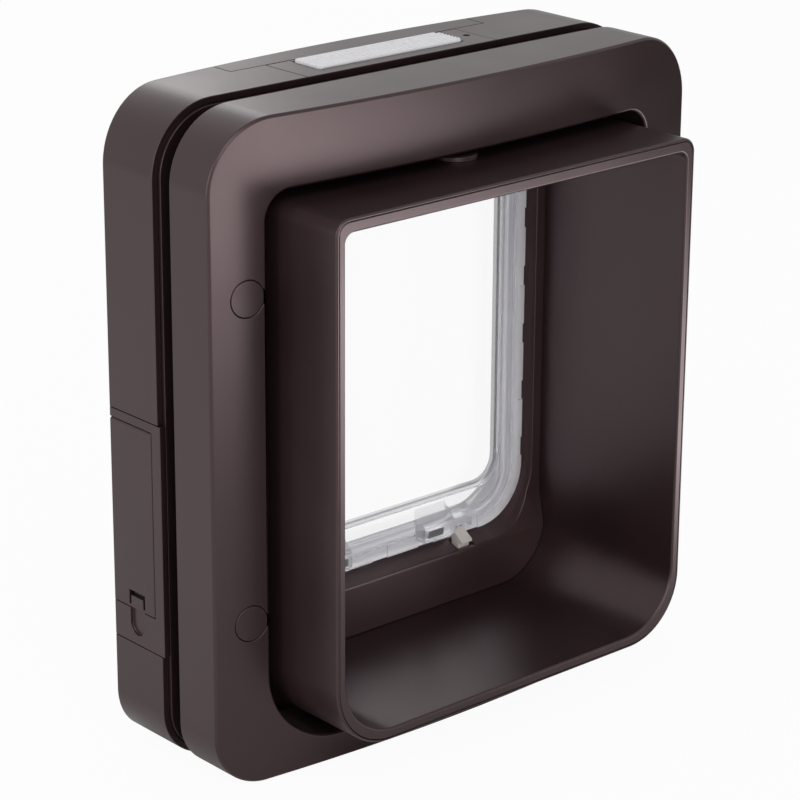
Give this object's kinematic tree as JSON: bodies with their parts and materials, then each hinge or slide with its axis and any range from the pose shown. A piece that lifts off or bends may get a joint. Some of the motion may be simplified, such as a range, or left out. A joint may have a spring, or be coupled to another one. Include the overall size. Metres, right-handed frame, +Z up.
{
  "type": "cat flap",
  "caption": "Electronic cat flap for a door: clear hinged flap at the end of a rounded tunnel, outdoor frame, indoor unit with locking bolts and side battery covers.",
  "frame": {"origin": "middle of the underside: halfway across the width and halfway between the tunnel mouth and the rear of the indoor unit, at the height of its lowest edge", "axes": "+X to the right seen from outdoors, +Y from outdoors into the room, +Z up"},
  "size_m": [0.262, 0.1164, 0.282],
  "materials": {
    "brown_plastic": "satin dark brown moulding",
    "clear_plastic": "clear polished plastic",
    "lens_plastic": "white translucent ribbed plastic",
    "seal_rubber": "soft translucent strip",
    "cream_plastic": "cream moulding",
    "steel": "plain bright steel",
    "insert_brass": "plain brass",
    "bush_plastic": "natural white bearing plastic",
    "magnet_dark": "dark coated magnet",
    "coil_copper": "enamelled copper winding",
    "board_green": "green circuit board",
    "module_dark": "dark glossy module",
    "cell_wrap": "plain grey sleeve"
  },
  "bodies": {
    "base": {"antenna_coil": "coil_copper", "battery_box_left": "brown_plastic", "battery_box_right": "brown_plastic", "battery_cells_left": "cell_wrap", "battery_cells_right": "cell_wrap", "battery_contacts_left": "steel", "battery_contacts_right": "steel", "circuit_board": "board_green", "control_lens": "lens_plastic", "control_panel": "brown_plastic", "display_module": "module_dark", "door_plate": "brown_plastic", "exterior_frame": "brown_plastic", "fixing_screws": "steel", "flap_frame": "brown_plastic", "hinge_bushes": "bush_plastic", "housing": "brown_plastic", "light_sensor": "module_dark", "lock_actuator_left": "steel", "lock_actuator_right": "steel", "screw_caps": "brown_plastic", "screw_inserts": "insert_brass", "sill_magnets": "magnet_dark", "top_strip": "brown_plastic", "tunnel": "brown_plastic"},
    "flap_body": {"flap": "clear_plastic", "flap_seal": "seal_rubber", "flap_magnets": "magnet_dark", "hinge_pins": "steel"},
    "bolt_left": {"lock_bolt_left": "cream_plastic", "lock_plunger_left": "steel"},
    "bolt_right": {"lock_bolt_right": "cream_plastic", "lock_plunger_right": "steel"},
    "cover_left": {"battery_cover_left": "brown_plastic"},
    "cover_right": {"battery_cover_right": "brown_plastic"}
  },
  "joints": [
    {"name": "flap_hinge", "type": "hinge", "parent": "base", "child": "flap_body", "pos_m": [0, 0.03175, 0.216], "axis": [1, 0, 0], "range_deg": [-75, 75]},
    {"name": "lock_bolt_left_slide", "type": "slide", "parent": "base", "child": "bolt_left", "axis": [0, 0, 1], "range_m": [0, 0.0037]},
    {"name": "lock_bolt_right_slide", "type": "slide", "parent": "base", "child": "bolt_right", "axis": [0, 0, 1], "range_m": [0, 0.0037]},
    {"name": "battery_cover_left_hinge", "type": "hinge", "parent": "base", "child": "cover_left", "pos_m": [-0.13, 0.032, 0.1451], "axis": [0, 1, 0], "range_deg": [0, 60]},
    {"name": "battery_cover_right_hinge", "type": "hinge", "parent": "base", "child": "cover_right", "pos_m": [0.13, 0.032, 0.1451], "axis": [0, -1, 0], "range_deg": [0, 60]}
  ]
}
